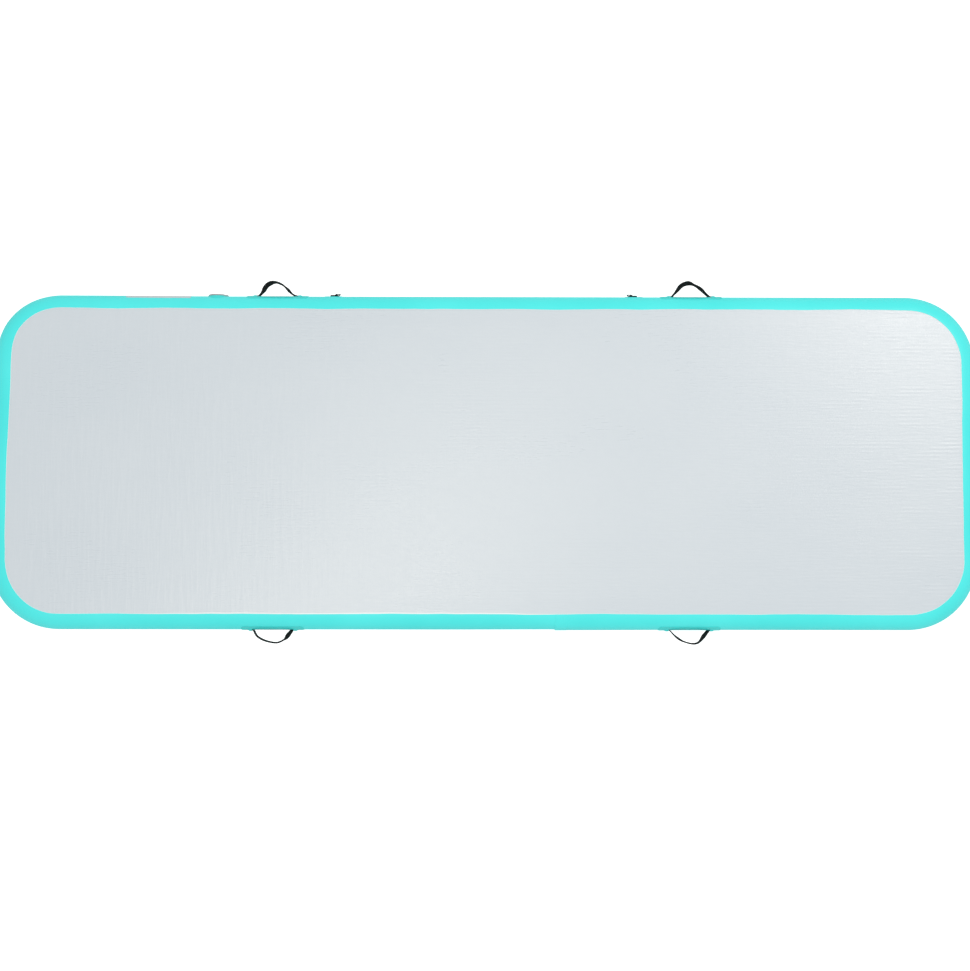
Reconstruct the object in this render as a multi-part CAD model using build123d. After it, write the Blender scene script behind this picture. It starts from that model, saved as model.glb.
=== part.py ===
"""Inflatable air track mat: a drop-stitch mat with a turquoise wall band.

Frame: +X along the mat, +Y towards the valve side, +Z up. The origin is the centre of the
underside, on the floor. All sizes are millimetres.

Two skins are held apart by drop-stitch yarns. Two wall bands close the sides: an airtight inner
one and a coloured outer one, both lapped onto the skins. The back wall carries a valve, a blank
label patch and two D-rings, and both long walls carry two webbing handles.
"""

from build123d import *

import os
from math import sqrt

# ---------------------------------------------------------------- the mat
MAT_LENGTH = 3000.0
MAT_WIDTH = 1018.0
MAT_THICKNESS = 100.0
CORNER_RADIUS = 212.0  # of the outline, seen from above
WALL_FLAT = 8.0  # upright strip at the middle of the round wall
SKIN = 1.0  # coated skin of the top and bottom panels
BAND = 0.9  # each of the two wall bands
LAP = 3.0  # how far the bands lap onto the flat of each skin
TURN_CLEARANCE = 5.2  # between the skins' turned edges and the valve's backing

YARN = 4.0  # side of one bundle of drop-stitch yarns
YARN_PITCH = 100.0
YARN_MARGIN = 30.0  # from the edge of the flat to the nearest bundle

# ---------------------------------------------------------------- webbing handles
WEBBING_WIDTH = 25.0
WEBBING = 2.0  # thickness
# Middle of each handle, from the nearer end of the mat.
HANDLE_FROM_END = {
    "back_left": 868.0,
    "back_right": 867.0,
    "front_left": 860.0,
    "front_right": 877.0,
}
HANDLE_CHORD = 115.0  # between the two feet of a loop
HANDLE_PATCH_LENGTH = 190.0
HANDLE_PATCH_HEIGHT = 64.0
PATCH = 0.9  # thickness of the glued patches
SEWN_LENGTH = 15.0  # flat sewn end beyond the loop's foot
HANDLE_PIVOT_OUT = 13.0  # from the wall to the line that the loop swings about

# The bow of each loop between its feet, as points along the wall and out from it.
HANDLE_BOWS = {
    "back_left": [(-47, 15), (-33, 36), (-11, 45), (12, 38), (29, 23), (45, 8)],
    "back_right": [(-46, 16), (-28, 37), (-6, 44.5), (17, 36), (33, 25), (46, 12)],
    "front_left": [(-47, 21), (-23, 34), (6, 40), (22, 37), (37, 28), (46, 17)],
    "front_right": [(-44, 17), (-29, 28.5), (-13, 36.5), (12, 42), (30, 37), (46, 17)],
}

# ---------------------------------------------------------------- D-rings
D_RING_FROM_END = {"left": 1048.0, "right": 1051.0}  # bar, from the nearer end of the mat
D_RING_WIRE = 3.0  # wire diameter
D_RING_SIDE = 3.0  # from the edge of the tab to the wire's centre, at each end of the bar
D_RING_DEPTH = 11.0  # from the bar to the bow, between wire centres
D_RING_PLAY = 0.1  # between the bar and the webbing round it
D_RING_LEAN = 78.0  # degrees that the ring lies over at rest, away from its tab
TAB_WIDTH = 22.0
TAB_WEBBING = 2.0  # one layer of the folded tab
TAB_LENGTH = 19.0
D_RING_PATCH_MARGIN = 17.0  # past each end of the tab
D_RING_PATCH_HEIGHT = 40.0

# ---------------------------------------------------------------- label patch
LABEL_FROM_END = 505.0  # its middle, from the left end of the mat
LABEL_LENGTH = 198.0
LABEL_HEIGHT = 64.0
LABEL = 0.6  # thickness

# ---------------------------------------------------------------- valve
VALVE_FROM_END = 682.0  # its axis, from the left end of the mat
BORE_RADIUS = 15.5
BARREL_WALL = 3.5
BARREL_CLEARANCE = 0.3  # round the barrel, in the wall and in what it clamps
BARREL_DEPTH = 28.0  # of the seat's inner face, from the outside of the wall
FLANGE_WIDTH = 8.0  # beyond the barrel
FLANGE = 1.6
SADDLE_MARGIN = 2.0  # beyond the flange
SADDLE_RISE = 0.6  # of its flat face above the wall
GASKET = 0.6
LEASH = 0.9  # thickness of the clamped leash ring
BACKING_WIDTH = 8.0  # beyond the barrel
BACKING_DEPTH = 10.5  # of its flat inner face, from the outside of the wall
NUT_WIDTH = 6.0  # beyond the barrel
NUT = 6.0
NUT_NOTCHES = 6
NUT_NOTCH_RADIUS = 3.0
THREAD_CLEARANCE = 0.1
SEAT = 2.0
SEAT_LEDGE = 4.5  # how far the seat stands into the bore
SPOKES = 3
SPOKE = 2.4  # width
HUB_DEPTH = 16.0  # of the hub's inner face
HUB = 3.0
HUB_WALL = 2.3
STEM_RADIUS = 2.2
STEM_CLEARANCE = 0.06
BUTTON_RADIUS = 5.0
BUTTON = 1.8
BUTTON_DEPTH = 2.6  # of the button's face
DISC = 2.0
DISC_LAP = 3.0  # of the disc over the seat
SEAL = 1.2
SEAL_MARGIN = 1.2  # of the seal inside the seat's opening
SPRING_WIRE = 0.8
SPRING_CLEARANCE = 1.0  # between the stem and the spring
SPRING_TURNS = 5
SPRING_END_GAP = 0.05
PLUG_CLEARANCE = 0.8  # between the cap's plug and the bore
PLUG_WALL = 1.4
PLUG_DEPTH = 4.2
CAP_GROOVE = 1.2
CAP_GROOVE_OUT = 3.3  # radius of the groove's floor beyond the barrel
CAP_LIP = 1.0
CAP_LIP_OUT = 2.2  # beyond the groove's floor
CAP_DOME = 1.2
CAP_SKIN = 1.8
CAP_SEAL = 0.7
CAP_SEAL_WIDTH = 3.2
CAP_SEAL_OUT = 0.7  # its inner edge beyond the bore
TETHER_WIDTH = 4.2  # of its ring, beyond the groove's floor
TETHER_CLEARANCE = 0.07
STRAP_WIDTH = 8.0
HINGE_OUT = 6.0  # of the leash's bend beyond the flange
HINGE_LIFT = 3.1  # of the bend above the wall
KNUCKLE_RADIUS = 1.5
KNUCKLE_HALF = 3.0
FINGER = 2.0
KNUCKLE_GAP = 0.4

# ---------------------------------------------------------------- worked out
MID = MAT_THICKNESS / 2
WALL_RADIUS = (MAT_THICKNESS - WALL_FLAT) / 2
HALF_LENGTH = MAT_LENGTH / 2
HALF_WIDTH = MAT_WIDTH / 2
FLAT_X = HALF_LENGTH - WALL_RADIUS  # where the flat of the skins ends
FLAT_Y = HALF_WIDTH - WALL_RADIUS
FLAT_CORNER = CORNER_RADIUS - WALL_RADIUS
BANDS = 2 * BAND
INSIDE = BANDS + SKIN  # from the outside of the mat to the inner face of a skin
FOOT_OUT = PATCH + WEBBING / 2  # of the webbing's middle where it is sewn down
D_RING_BAR = TAB_WIDTH + 2 * D_RING_SIDE
LABEL_X = LABEL_FROM_END - HALF_LENGTH
VALVE_X = VALVE_FROM_END - HALF_LENGTH
BARREL_RADIUS = BORE_RADIUS + BARREL_WALL
HOLE_RADIUS = BARREL_RADIUS + BARREL_CLEARANCE
FLANGE_RADIUS = BARREL_RADIUS + FLANGE_WIDTH
FLANGE_BASE = SADDLE_RISE + GASKET + LEASH
FLANGE_TOP = FLANGE_BASE + FLANGE
SADDLE_RADIUS = FLANGE_RADIUS + SADDLE_MARGIN
BACKING_RADIUS = BARREL_RADIUS + BACKING_WIDTH
NUT_RADIUS = BARREL_RADIUS + NUT_WIDTH
SEAT_RADIUS = BORE_RADIUS - SEAT_LEDGE
DISC_RADIUS = SEAT_RADIUS + DISC_LAP
HUB_RADIUS = STEM_RADIUS + STEM_CLEARANCE + HUB_WALL
SPRING_RADIUS = STEM_RADIUS + SPRING_CLEARANCE + SPRING_WIRE / 2
PLUG_RADIUS = BORE_RADIUS - PLUG_CLEARANCE
CAP_GROOVE_RADIUS = BARREL_RADIUS + CAP_GROOVE_OUT
CAP_RADIUS = CAP_GROOVE_RADIUS + CAP_LIP_OUT
CAP_SEAL_INNER = BORE_RADIUS + CAP_SEAL_OUT
CAP_SEAL_OUTER = CAP_SEAL_INNER + CAP_SEAL_WIDTH
TETHER_RADIUS = CAP_GROOVE_RADIUS + TETHER_WIDTH
BEND_OUT = FLANGE_RADIUS + HINGE_OUT  # from the valve's axis to the leash's bend
SKIN_TURN = MID - BANDS - BACKING_RADIUS - TURN_CLEARANCE  # height of the skins' turned edges
VALVE = Plane(origin=(VALVE_X, HALF_WIDTH, MID), x_dir=(1, 0, 0), z_dir=(0, 1, 0))

os.makedirs("parts", exist_ok=True)


def save(part, name):
    """Write one sub-part."""
    part.label = name
    export_step(part, f"parts/{name}.step")


# ---------------------------------------------------------------- the wall's section
# Sections are drawn with X outwards from the edge of the flat and Y up from the floor.


def inside_wall(depth):
    """Section inside the wall's outer face moved in by depth (out if negative), from the lap out."""
    reach = 4 * WALL_RADIUS
    block = RectangleRounded(reach, MAT_THICKNESS - 2 * depth, WALL_RADIUS - depth)
    lapped = Pos(-LAP + reach / 2, MID) * Rectangle(reach, 2 * MAT_THICKNESS)
    return Pos(WALL_RADIUS - depth - reach / 2, MID) * block & lapped


def wall_layer(outer, inner):
    """Section of one layer that follows the wall between two depths."""
    return inside_wall(outer) - inside_wall(inner)


def band_round(section):
    """Carry a section round the whole outline: four straight runs and four corners."""
    straight_x = FLAT_X - FLAT_CORNER
    straight_y = FLAT_Y - FLAT_CORNER
    pieces = []
    for turn, reach, half in ((0, FLAT_X, straight_y), (90, FLAT_Y, straight_x)):
        for flip in (0, 180):
            wall = Plane(origin=(reach, half, 0), x_dir=(1, 0, 0), z_dir=(0, -1, 0))
            run = extrude(wall * section, 2 * half)
            pieces.append(Rot(0, 0, turn + flip) * run)
    for number, (side_x, side_y) in enumerate(((1, 1), (-1, 1), (-1, -1), (1, -1))):
        bend = revolve(Plane.XZ * (Pos(FLAT_CORNER, 0) * section), Axis.Z, 90)
        pieces.append(Pos(side_x * straight_x, side_y * straight_y) * Rot(0, 0, 90 * number) * bend)
    return pieces[0].fuse(*pieces[1:]).clean()


def on_wall(section, start, length, side):
    """Run a section along a long wall; side is 1 for the back and -1 for the front."""
    wall = Plane(origin=(start, side * FLAT_Y, 0), x_dir=(0, side, 0), z_dir=(side, 0, 0))
    if side > 0:
        return extrude(wall * section, length)
    return Pos(length, 0, 0) * extrude(wall * section, length)


def strip(thickness, height, base=0.0):
    """Section of a strip that lies on the wall, centred at the middle of its height."""
    belt = Pos(0, MID) * Rectangle(6 * WALL_RADIUS, height)
    return wall_layer(-base - thickness, -base) & belt


# ---------------------------------------------------------------- the mat's own pieces


def make_panels():
    """The two skins, each a flat sheet with its edge turned along the wall."""
    sheet = extrude(RectangleRounded(2 * FLAT_X, 2 * FLAT_Y, FLAT_CORNER), SKIN)
    turned = Pos(0, MAT_THICKNESS) * Rectangle(6 * WALL_RADIUS, 2 * (BANDS + SKIN_TURN))
    edge = wall_layer(BANDS, INSIDE) & turned
    top = Pos(0, 0, MAT_THICKNESS - INSIDE) * sheet + band_round(edge)
    save(top, "top_panel")
    save(Pos(0, 0, MAT_THICKNESS) * Rot(180, 0, 0) * top, "bottom_panel")


def inside_flat(x, y):
    """Whether a bundle of yarns at x, y stands on the flat, clear of its rounded corners."""
    half_x = FLAT_X - YARN_MARGIN
    half_y = FLAT_Y - YARN_MARGIN
    corner_x = abs(x) - (FLAT_X - FLAT_CORNER)
    corner_y = abs(y) - (FLAT_Y - FLAT_CORNER)
    if corner_x > 0 and corner_y > 0:
        return sqrt(corner_x**2 + corner_y**2) < FLAT_CORNER - YARN_MARGIN
    return abs(x) <= half_x and abs(y) <= half_y


def make_yarns():
    """Bundles of drop-stitch yarns, square to both skins."""
    height = MAT_THICKNESS - 2 * INSIDE
    columns = int((FLAT_X - YARN_MARGIN) // YARN_PITCH)
    rows = int((FLAT_Y - YARN_MARGIN) // YARN_PITCH)
    bundle = Box(YARN, YARN, height)
    bundles = []
    for column in range(-columns, columns + 1):
        for row in range(-rows, rows + 1):
            x = column * YARN_PITCH
            y = row * YARN_PITCH
            if inside_flat(x, y):
                bundles.append(Pos(x, y, MID) * bundle)
    save(Compound(children=bundles), "drop_threads")


def make_bands():
    """The airtight inner band and the coloured outer band, with the valve's hole through both."""
    hole = VALVE * Cylinder(HOLE_RADIUS, WALL_RADIUS)
    save(band_round(wall_layer(BAND, BANDS)) - hole, "inner_wall_band")
    save(band_round(wall_layer(0, BAND)) - hole, "outer_wall_band")


def make_label():
    """Blank patch on the back wall."""
    label = strip(LABEL, LABEL_HEIGHT)
    save(on_wall(label, LABEL_X - LABEL_LENGTH / 2, LABEL_LENGTH, 1), "label_patch")


# ---------------------------------------------------------------- handles


def crossing(line, end):
    """Where the loop's centre line passes the height of its pivot, from one end (0 or 1)."""
    low = float(end)
    high = 0.5
    for _ in range(40):
        middle = (low + high) / 2
        if (line @ middle).Y < HANDLE_PIVOT_OUT:
            low = middle
        else:
            high = middle
    return (line @ low).X


def make_handle(name, bow):
    """Patch, two sewn ends and the free loop of one handle."""
    side = 1 if name.startswith("back") else -1
    centre = HALF_LENGTH - HANDLE_FROM_END[name]
    if name.endswith("left"):
        centre = -centre
    half_chord = HANDLE_CHORD / 2
    place = Pos(centre, side * HALF_WIDTH, MID - WEBBING_WIDTH / 2)
    if side < 0:
        place = place * Rot(180, 0, 0) * Pos(0, 0, -WEBBING_WIDTH)
    line = Spline([(-half_chord, FOOT_OUT), *bow, (half_chord, FOOT_OUT)])
    webbing = extrude(trace(line, WEBBING), WEBBING_WIDTH)
    reach = 2 * HANDLE_CHORD
    left = crossing(line, 0)
    right = crossing(line, 1)
    free = Pos((left + right) / 2, 0, 0) * Box(right - left, reach, reach)
    save(place * (webbing & free), f"handle_strap_{name}")

    start = centre - HANDLE_PATCH_LENGTH / 2
    patch = strip(PATCH, HANDLE_PATCH_HEIGHT)
    save(on_wall(patch, start, HANDLE_PATCH_LENGTH, side), f"handle_patch_{name}")

    # A foot starts in the middle of the sewn flat, so that only the flat meets the patch.
    sewn = strip(WEBBING, WEBBING_WIDTH, PATCH)
    flat_length = SEWN_LENGTH + WEBBING
    for end, edge, away in (("left", left, -1), ("right", right, 1)):
        outside = Pos(edge + away * reach / 2, FOOT_OUT + reach / 2, 0) * Box(reach, reach, reach)
        stub = place * (webbing & outside)
        middle = centre + away * (half_chord + SEWN_LENGTH / 2 - WEBBING / 2)
        flat = on_wall(sewn, middle - flat_length / 2, flat_length, side)
        save(flat + stub, f"handle_end_{name}_{end}")


# ---------------------------------------------------------------- D-rings


def make_d_ring(name, outboard):
    """Patch, folded webbing tab and ring; outboard is the way from the ring to its tab."""
    bar_radius = D_RING_WIRE / 2
    loop_inner = bar_radius + D_RING_PLAY
    loop_outer = loop_inner + TAB_WEBBING
    lift = PATCH + loop_outer + D_RING_PLAY
    bar_x = outboard * (HALF_LENGTH - D_RING_FROM_END[name])
    bar = Pos(bar_x, HALF_WIDTH + lift, MID)

    tail_start = bar_x if outboard > 0 else bar_x - TAB_LENGTH
    patch = strip(PATCH, D_RING_PATCH_HEIGHT)
    patch_start = tail_start - D_RING_PATCH_MARGIN
    patch_length = TAB_LENGTH + 2 * D_RING_PATCH_MARGIN
    save(on_wall(patch, patch_start, patch_length, 1), f"d_ring_patch_{name}")

    tail = strip(2 * TAB_WEBBING, TAB_WIDTH, PATCH)
    tab = on_wall(tail, tail_start, TAB_LENGTH, 1) + bar * Cylinder(loop_outer, TAB_WIDTH)
    save(tab - bar * Cylinder(loop_inner, 2 * TAB_WIDTH), f"d_ring_tab_{name}")

    half = D_RING_BAR / 2
    crown = half - D_RING_DEPTH  # half of the bow's straight middle
    start = Plane(origin=(0, D_RING_DEPTH, crown), x_dir=(1, 0, 0), z_dir=(0, 0, 1))
    bend = revolve(start * Circle(bar_radius), Axis((0, 0, crown), (1, 0, 0)), 90)
    ring = Cylinder(bar_radius, D_RING_BAR)
    ring += Pos(0, D_RING_DEPTH, 0) * Cylinder(bar_radius, 2 * crown)
    ring += Pos(0, 0, half) * Sphere(bar_radius)
    ring += Pos(0, 0, -half) * Sphere(bar_radius)
    ring += bend
    ring += mirror(bend, Plane.XY)
    save(bar * Rot(0, 0, outboard * D_RING_LEAN) * ring, f"d_ring_{name}")


# ---------------------------------------------------------------- valve
# Heights here are along VALVE's axis, outwards, from 0 at the outside of the wall.


def tube(outer, inner, low, high):
    """A ring between two radii and two heights."""
    height = high - low
    return Pos(0, 0, (low + high) / 2) * (Cylinder(outer, height) - Cylinder(inner, 2 * height))


def disc(radius, low, high):
    """A solid disc between two heights."""
    return Pos(0, 0, (low + high) / 2) * Cylinder(radius, high - low)


def wall_block(depth):
    """A length of the solid inside the wall's section at a depth, near the valve."""
    reach = 2 * SADDLE_RADIUS
    return on_wall(inside_wall(depth), VALVE_X - reach, 2 * reach, 1)


def make_valve_seats():
    """The saddle outside the wall, the backing inside it, the gasket and the nut."""
    saddle = VALVE * tube(SADDLE_RADIUS, HOLE_RADIUS, -WALL_RADIUS / 2, SADDLE_RISE)
    save(saddle - wall_block(0), "valve_saddle")
    backing = VALVE * tube(BACKING_RADIUS, HOLE_RADIUS, -BACKING_DEPTH, 0)
    save(backing & wall_block(BANDS), "valve_backing")
    gasket = tube(FLANGE_RADIUS, HOLE_RADIUS, SADDLE_RISE, SADDLE_RISE + GASKET)
    save(VALVE * gasket, "valve_gasket")
    nut = tube(NUT_RADIUS, BARREL_RADIUS + THREAD_CLEARANCE, -BACKING_DEPTH - NUT, -BACKING_DEPTH)
    for notch in PolarLocations(NUT_RADIUS, NUT_NOTCHES):
        nut -= Pos(0, 0, -BACKING_DEPTH - NUT / 2) * notch * Cylinder(NUT_NOTCH_RADIUS, 2 * NUT)
    save(VALVE * nut, "valve_nut")


def make_valve_body():
    """Flange, barrel with its seat, and the spoked hub that guides the stem."""
    body = tube(FLANGE_RADIUS, BORE_RADIUS, FLANGE_BASE, FLANGE_TOP)
    body += tube(BARREL_RADIUS, BORE_RADIUS, -BARREL_DEPTH, FLANGE_TOP)
    body += tube(BARREL_RADIUS, SEAT_RADIUS, -BARREL_DEPTH, -BARREL_DEPTH + SEAT)
    hub_middle = -HUB_DEPTH + HUB / 2
    wall_middle = (BORE_RADIUS + BARREL_RADIUS) / 2
    for spoke in range(SPOKES):
        arm = Pos(wall_middle / 2, 0, hub_middle) * Box(wall_middle, SPOKE, HUB)
        body += Rot(0, 0, 360 / SPOKES * spoke) * arm
    body += disc(HUB_RADIUS, -HUB_DEPTH, -HUB_DEPTH + HUB)
    body -= disc(STEM_RADIUS + STEM_CLEARANCE, -HUB_DEPTH - HUB, -HUB_DEPTH + 2 * HUB)
    save(VALVE * body, "valve_body")


def make_plunger():
    """Button, stem and disc in one, the disc's seal, and the spring under the button."""
    seal_face = -BARREL_DEPTH
    plunger = disc(BUTTON_RADIUS, -BUTTON_DEPTH - BUTTON, -BUTTON_DEPTH)
    plunger += disc(STEM_RADIUS, seal_face - SEAL - DISC / 2, -BUTTON_DEPTH - BUTTON / 2)
    plunger += disc(DISC_RADIUS, seal_face - SEAL - DISC, seal_face - SEAL)
    save(VALVE * plunger, "valve_plunger")
    seal = tube(DISC_RADIUS, SEAT_RADIUS - SEAL_MARGIN, seal_face - SEAL, seal_face)
    save(VALVE * seal, "plunger_seal")
    low = -HUB_DEPTH + HUB + SPRING_WIRE / 2 + SPRING_END_GAP
    high = -BUTTON_DEPTH - BUTTON - SPRING_WIRE / 2 - SPRING_END_GAP
    path = Helix(pitch=(high - low) / SPRING_TURNS, height=high - low, radius=SPRING_RADIUS)
    start = Plane(origin=path @ 0, z_dir=path % 0)
    coil = sweep(start * Circle(SPRING_WIRE / 2), path=path, is_frenet=True)
    save(VALVE * Pos(0, 0, low) * coil, "valve_spring")


def make_cap():
    """Domed cap with its plug, and the seal in its underside."""
    groove_top = FLANGE_TOP + CAP_GROOVE
    lip_top = groove_top + CAP_LIP
    dome_radius = (CAP_RADIUS**2 + CAP_DOME**2) / (2 * CAP_DOME)
    dome = Pos(0, 0, lip_top + CAP_DOME - dome_radius) * Sphere(dome_radius)
    cap = dome & disc(CAP_RADIUS, groove_top, lip_top + 2 * CAP_DOME)
    cap += disc(CAP_GROOVE_RADIUS, FLANGE_TOP, groove_top)
    cap += tube(PLUG_RADIUS, PLUG_RADIUS - PLUG_WALL, FLANGE_TOP - PLUG_DEPTH, FLANGE_TOP)
    cap -= disc(PLUG_RADIUS - PLUG_WALL, FLANGE_TOP - 1, lip_top + CAP_DOME - CAP_SKIN)
    cap -= tube(CAP_SEAL_OUTER, CAP_SEAL_INNER, FLANGE_TOP - 1, FLANGE_TOP + CAP_SEAL)
    save(VALVE * cap, "valve_cap")
    seal = tube(CAP_SEAL_OUTER, CAP_SEAL_INNER, FLANGE_TOP, FLANGE_TOP + CAP_SEAL)
    save(VALVE * seal, "cap_seal")


def make_tether():
    """The leash: its clamped root with two fingers, and the ring that the cap turns in."""
    base_low = SADDLE_RISE + GASKET
    base_middle = base_low + LEASH / 2
    bend = Pos(BEND_OUT, 0, HINGE_LIFT)
    upright = Rot(90, 0, 0)
    tab_end = BEND_OUT - KNUCKLE_RADIUS - KNUCKLE_GAP
    tab_start = (FLANGE_RADIUS + HOLE_RADIUS) / 2

    base = tube(FLANGE_RADIUS, HOLE_RADIUS, base_low, FLANGE_BASE)
    tab = Box(tab_end - tab_start, 2 * (KNUCKLE_HALF + FINGER), LEASH)
    base += Pos((tab_end + tab_start) / 2, 0, base_middle) * tab
    for side in (1, -1):
        across = side * (KNUCKLE_HALF + FINGER / 2)
        arm = Box(BEND_OUT - tab_start, FINGER, LEASH)
        base += Pos((BEND_OUT + tab_start) / 2, across, base_middle) * arm
        web = Box(KNUCKLE_RADIUS, FINGER, HINGE_LIFT - base_middle)
        base += Pos(BEND_OUT, across, (HINGE_LIFT + base_middle) / 2) * web
        base += bend * Pos(0, across, 0) * upright * Cylinder(KNUCKLE_RADIUS, FINGER)
    save(VALVE * base, "tether_base")

    ring_low = FLANGE_TOP + TETHER_CLEARANCE
    ring_high = FLANGE_TOP + CAP_GROOVE - TETHER_CLEARANCE
    ring_inner = CAP_GROOVE_RADIUS + TETHER_CLEARANCE
    strap_start = (TETHER_RADIUS + ring_inner) / 2
    strap_middle = (ring_low + ring_high) / 2
    wide_end = tab_end - KNUCKLE_GAP
    tether = tube(TETHER_RADIUS, ring_inner, ring_low, ring_high)
    for end, width in ((wide_end, STRAP_WIDTH), (BEND_OUT, 2 * KNUCKLE_HALF)):
        strap = Box(end - strap_start, width, ring_high - ring_low)
        tether += Pos((end + strap_start) / 2, 0, strap_middle) * strap
    tether -= disc(ring_inner, ring_low - LEASH, ring_high + LEASH)
    tether += bend * upright * Cylinder(KNUCKLE_RADIUS, 2 * KNUCKLE_HALF)
    save(VALVE * tether, "cap_tether")


# ---------------------------------------------------------------- build
make_panels()
make_yarns()
make_bands()
make_label()
for handle_name, handle_bow in HANDLE_BOWS.items():
    make_handle(handle_name, handle_bow)
make_d_ring("left", -1)
make_d_ring("right", 1)
make_valve_seats()
make_valve_body()
make_plunger()
make_cap()
make_tether()
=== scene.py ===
"""Looks of the inflatable air track mat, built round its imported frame.

Metres in the row frame: +X along the mat, +Y towards the valve side, +Z up, and the origin on the
floor under its centre. Soft pieces are drawn flat, in lengths along the wall, up it and off it,
and then laid on the round wall.
"""

import math

import bmesh
import bpy
from mathutils import Matrix, Vector, noise


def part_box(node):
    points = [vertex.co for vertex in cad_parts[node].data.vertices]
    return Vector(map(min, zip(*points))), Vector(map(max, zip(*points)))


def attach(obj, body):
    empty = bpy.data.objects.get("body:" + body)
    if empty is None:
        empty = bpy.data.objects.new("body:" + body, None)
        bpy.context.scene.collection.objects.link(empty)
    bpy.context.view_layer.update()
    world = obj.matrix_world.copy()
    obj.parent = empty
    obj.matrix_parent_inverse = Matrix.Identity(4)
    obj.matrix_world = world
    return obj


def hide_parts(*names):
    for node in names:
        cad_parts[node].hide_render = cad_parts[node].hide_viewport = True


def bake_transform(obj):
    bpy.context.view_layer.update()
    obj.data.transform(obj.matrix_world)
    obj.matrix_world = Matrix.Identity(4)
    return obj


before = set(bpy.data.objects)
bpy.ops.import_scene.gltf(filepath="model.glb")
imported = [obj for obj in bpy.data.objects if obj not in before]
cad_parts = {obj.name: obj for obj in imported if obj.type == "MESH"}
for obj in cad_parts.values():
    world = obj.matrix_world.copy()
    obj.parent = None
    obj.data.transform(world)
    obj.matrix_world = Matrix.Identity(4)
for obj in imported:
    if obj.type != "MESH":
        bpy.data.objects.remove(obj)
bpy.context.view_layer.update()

MM = 0.001

# ---------------------------------------------------------------- the mat's sizes
wall_low, wall_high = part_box("outer_wall_band")
HALF_LENGTH = wall_high.x
HALF_WIDTH = wall_high.y
THICKNESS = wall_high.z
MID = THICKNESS / 2
WALL_FLAT = 8 * MM  # upright strip at the middle of the round wall
WALL_RADIUS = MID - WALL_FLAT / 2
FLAT_X = HALF_LENGTH - WALL_RADIUS
FLAT_Y = HALF_WIDTH - WALL_RADIUS
FLAT_CORNER = 212 * MM - WALL_RADIUS
CORE_X = FLAT_X - FLAT_CORNER  # centres of the corners
CORE_Y = FLAT_Y - FLAT_CORNER
BAND = 0.9 * MM
BANDS = 2 * BAND
QUARTER = WALL_FLAT / 2 + WALL_RADIUS * math.pi / 2  # up the wall from its middle to the flat
RIB_PITCH = 12.2 * MM  # between the rows of drop-stitch yarns
JOINT_X = 0.215  # where the two ends of the wall fabric meet, on the front wall
# Dent and bulges at the back left corner: start, top and end along the outline, and amount.
CORNER_BUMPS = (
    (-0.36, 0.0, 0.115, -8.5 * MM),
    (0.05, 0.20, 0.85, 2.4 * MM),
    (0.07, 0.15, 0.27, 2.0 * MM),
)


# ---------------------------------------------------------------- laying things on the wall


def ease(value):
    """Smooth step from 0 to 1."""
    value = max(0.0, min(1.0, value))
    return value * value * (3 - 2 * value)


def keyed(keys, place):
    """Smooth value at a place, from keys of (place, value)."""
    for (start, low), (end, high) in zip(keys, keys[1:]):
        if place <= end:
            return low + (high - low) * ease((place - start) / (end - start))
    return keys[-1][1]


def core_of(x, y):
    """Nearest point of the rectangle through the corners' centres, and the way out from it."""
    core = Vector((max(-CORE_X, min(CORE_X, x)), max(-CORE_Y, min(CORE_Y, y)), 0))
    return core, (Vector((x, y, 0)) - core).normalized()


def section(up, off):
    """Reach out from the flat's edge and height, for a length up the wall from its middle."""
    radius = WALL_RADIUS + off
    length = abs(up)
    if length <= WALL_FLAT / 2:
        return radius, MID + up
    turn = (length - WALL_FLAT / 2) / WALL_RADIUS
    past = max(0.0, length - QUARTER)
    turn = min(turn, math.pi / 2)
    height = WALL_FLAT / 2 + radius * math.sin(turn)
    return radius * math.cos(turn) - past, MID + math.copysign(height, up)


def slack(x, y, up):
    """How far the wall fabric stands out along the front wall, to each side of its joint."""
    if y > -CORE_Y:
        return 0.0
    past = x - JOINT_X
    if past < 0:
        amount = -0.9 * MM * ease(1 + past / 0.34)
    else:
        amount = 1.3 * MM * ease(1 - past / 0.42)
    return amount * (1 - ease((abs(up) - 26 * MM) / (34 * MM)))


def corner_push(core, way):
    """How far the outline stands out of true near the back left corner."""
    if way.y < 0:
        return 0.0
    # The length along the outline: nought where the left end meets the corner, and on to the back.
    along = core.y - CORE_Y + FLAT_CORNER * math.atan2(way.y, -way.x) + core.x + CORE_X
    return sum(amount * ease((along - start) / (top - start)) * ease((end - along) / (end - top))
               for start, top, end, amount in CORNER_BUMPS)


def wall_point(x, y, up, off):
    """The point off the wall at a length up it, at the outline's place nearest x, y."""
    core, way = core_of(x, y)
    reach, height = section(up, off + slack(x, y, up))
    point = core + way * (FLAT_CORNER + reach + corner_push(core, way))
    point.z = height
    return point


def lay_on_long_wall(bm, centre, side):
    """Lay a flat shape (along, up, off) on a long wall, round a place along it."""
    for vert in bm.verts:
        along, up, off = vert.co
        vert.co = wall_point(centre + along, side * HALF_WIDTH, up, off)


def wobble(x, y, size, seed):
    """Smooth irregularity from -1 to 1, the same on every run."""
    return noise.noise(Vector((x / size, y / size, seed)))


# ---------------------------------------------------------------- pieces and their making


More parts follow.
